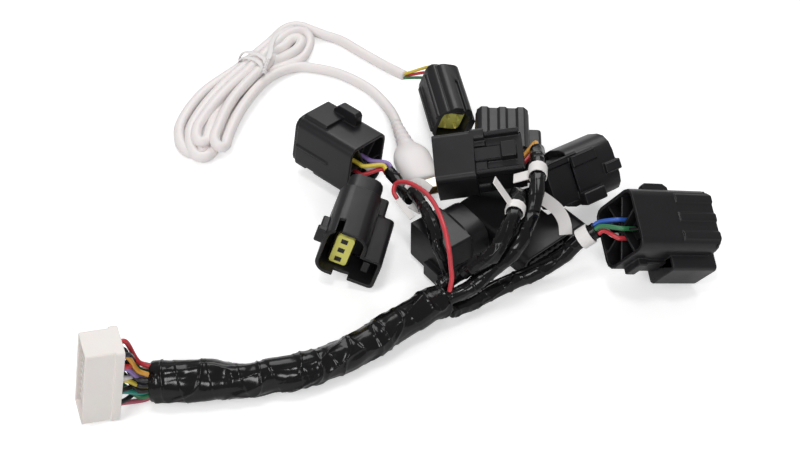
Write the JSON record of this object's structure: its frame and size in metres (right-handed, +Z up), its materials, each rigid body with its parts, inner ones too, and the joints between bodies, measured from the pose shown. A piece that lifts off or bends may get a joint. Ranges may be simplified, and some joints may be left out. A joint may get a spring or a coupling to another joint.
{
  "type": "vehicle wiring harness",
  "caption": "Taped vehicle wiring harness with a white multi-way header, branches to black sealed connectors and a white USB lead tied in a hank, lying on a bench.",
  "frame": {"origin": "centre of the header and connectors on the bench", "axes": "+Z up, +X to the right of the picture, from the header to the branches, +Y away from the camera"},
  "size_m": [0.2368, 0.224, 0.0517],
  "materials": {
    "black_nylon": "moulded satin",
    "white_nylon": "moulded satin",
    "yellow_nylon": "moulded satin",
    "black_tape": "glossy wrapped tape",
    "paper": "coated paper",
    "white_tie": "coated wire",
    "white_jacket": "satin cable jacket",
    "shell_metal": "plated",
    "wire_red": "extruded insulation",
    "wire_orange": "extruded insulation",
    "wire_yellow": "extruded insulation",
    "wire_green": "extruded insulation",
    "wire_teal": "extruded insulation",
    "wire_blue": "extruded insulation",
    "wire_purple": "extruded insulation",
    "wire_pink": "extruded insulation",
    "wire_white": "extruded insulation",
    "wire_black": "extruded insulation"
  },
  "bodies": {
    "root": {"branch_a_tape": "black_tape", "branch_left_tape": "black_tape", "branch_middle_tape": "black_tape", "branch_right_tape": "black_tape", "branch_upper_tape": "black_tape", "connector_a_housing": "black_nylon", "connector_a_wire_purple": "wire_purple", "connector_a_wire_red": "wire_red", "connector_a_wire_white": "wire_white", "connector_a_wire_yellow": "wire_yellow", "connector_b_housing": "black_nylon", "connector_b_terminal_lock": "yellow_nylon", "connector_c_housing": "black_nylon", "connector_c_pin_block": "yellow_nylon", "connector_d_housing": "black_nylon", "connector_d_wire_orange": "wire_orange", "connector_d_wire_red": "wire_red", "connector_e_housing": "black_nylon", "connector_f_housing": "black_nylon", "connector_g_housing": "black_nylon", "connector_g_wire_black": "wire_black", "connector_g_wire_blue": "wire_blue", "connector_g_wire_green": "wire_green", "connector_g_wire_red": "wire_red", "connector_g_wire_white": "wire_white", "connector_h_housing": "black_nylon", "connector_i_housing": "black_nylon", "header_housing": "white_nylon", "header_wire_black": "wire_black", "header_wire_blue": "wire_blue", "header_wire_green": "wire_green", "header_wire_orange": "wire_orange", "header_wire_pink": "wire_pink", "header_wire_purple": "wire_purple", "header_wire_red": "wire_red", "header_wire_teal": "wire_teal", "header_wire_white": "wire_white", "header_wire_yellow": "wire_yellow", "label_a": "paper", "label_left": "paper", "label_middle": "paper", "label_red": "paper", "label_right": "paper", "label_upper": "paper", "paper_strap": "paper", "red_wire": "wire_red", "trunk_tape": "black_tape", "twist_tie": "white_tie", "usb_cord_loose_end": "white_jacket", "usb_cord_plug_end": "white_jacket", "usb_core_green": "wire_green", "usb_core_red": "wire_red", "usb_core_yellow": "wire_yellow", "usb_hank": "white_jacket", "usb_overmould": "white_jacket", "usb_shell": "shell_metal"}
  },
  "joints": []
}
